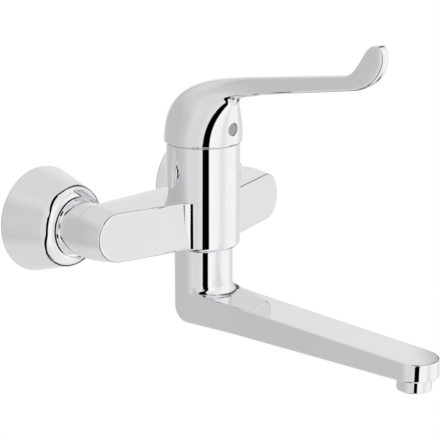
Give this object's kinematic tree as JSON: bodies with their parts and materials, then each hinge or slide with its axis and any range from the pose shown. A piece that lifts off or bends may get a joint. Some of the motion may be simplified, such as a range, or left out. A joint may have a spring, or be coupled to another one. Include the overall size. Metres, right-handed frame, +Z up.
{
  "type": "wall-mounted single-lever mixer tap",
  "caption": "Chrome wall mixer tap with a long elbow lever on a domed cap, swept inlet arms with bell rosettes, and a low flat swivel spout with aerator.",
  "frame": {"origin": "on the wall plane, midway between the two wall threads", "axes": "+Z up, +Y into the wall, +X to the user's right; the tap stands out along -Y with the lever and spout straight ahead"},
  "size_m": [0.223, 0.2955, 0.2124],
  "materials": {
    "chrome": "polished chrome plate on brass",
    "brass": "turned, unplated",
    "steel": "turned stainless steel",
    "rubber": "moulded, matt black",
    "ceramic": "lapped alumina",
    "white_plastic": "moulded acetal",
    "grey_plastic": "moulded acetal",
    "indicator_grey": "smooth moulded plug"
  },
  "bodies": {
    "tap_body": {"mixer_body": "chrome", "s_union_left": "brass", "s_union_right": "brass", "inlet_washer_left": "rubber", "inlet_washer_right": "rubber", "inlet_nipple_left": "brass", "inlet_nipple_right": "brass", "union_nut_left": "chrome", "union_nut_right": "chrome", "rosette_left": "chrome", "rosette_right": "chrome", "rosette_bush_left": "chrome", "rosette_bush_right": "chrome", "cartridge_base": "grey_plastic", "base_seals": "rubber", "cartridge_housing": "white_plastic", "fixed_disc": "ceramic", "ring_nut": "brass", "cover_ring": "chrome", "outlet_spigot": "brass", "spigot_orings": "rubber", "bearing_ring": "white_plastic", "glide_washer": "white_plastic"},
    "turret_unit": {"turret": "white_plastic", "pivot_pin": "steel"},
    "lever_unit": {"lever_spindle": "steel", "lever": "chrome", "set_screw": "steel", "indicator_plug": "indicator_grey"},
    "disc_unit": {"moving_disc": "ceramic", "disc_carrier": "grey_plastic"},
    "spout_unit": {"spout": "chrome", "keeper_screw": "steel", "aerator_housing": "chrome", "jet_regulator": "grey_plastic", "aerator_seal": "rubber"}
  },
  "joints": [
    {"name": "spout_swivel", "type": "hinge", "parent": "tap_body", "child": "spout_unit", "pos_m": [0, -0.0825, -0.025], "axis": [0, 0, 1], "range_deg": [-75, 75]},
    {"name": "lever_turn", "type": "hinge", "parent": "tap_body", "child": "turret_unit", "pos_m": [0, -0.0825, 0.0553], "axis": [0, 0, 1], "range_deg": [-50, 50]},
    {"name": "lever_lift", "type": "hinge", "parent": "turret_unit", "child": "lever_unit", "pos_m": [0, -0.0825, 0.0553], "axis": [-1, 0, 0], "range_deg": [0, 25]},
    {"name": "disc_slide", "type": "slide", "parent": "turret_unit", "child": "disc_unit", "axis": [0, -1, 0], "range_m": [0, 0.0062]}
  ],
  "couplings": [
    {"joint": "disc_slide", "follows": "lever_lift", "m_per_rad": 0.014}
  ]
}
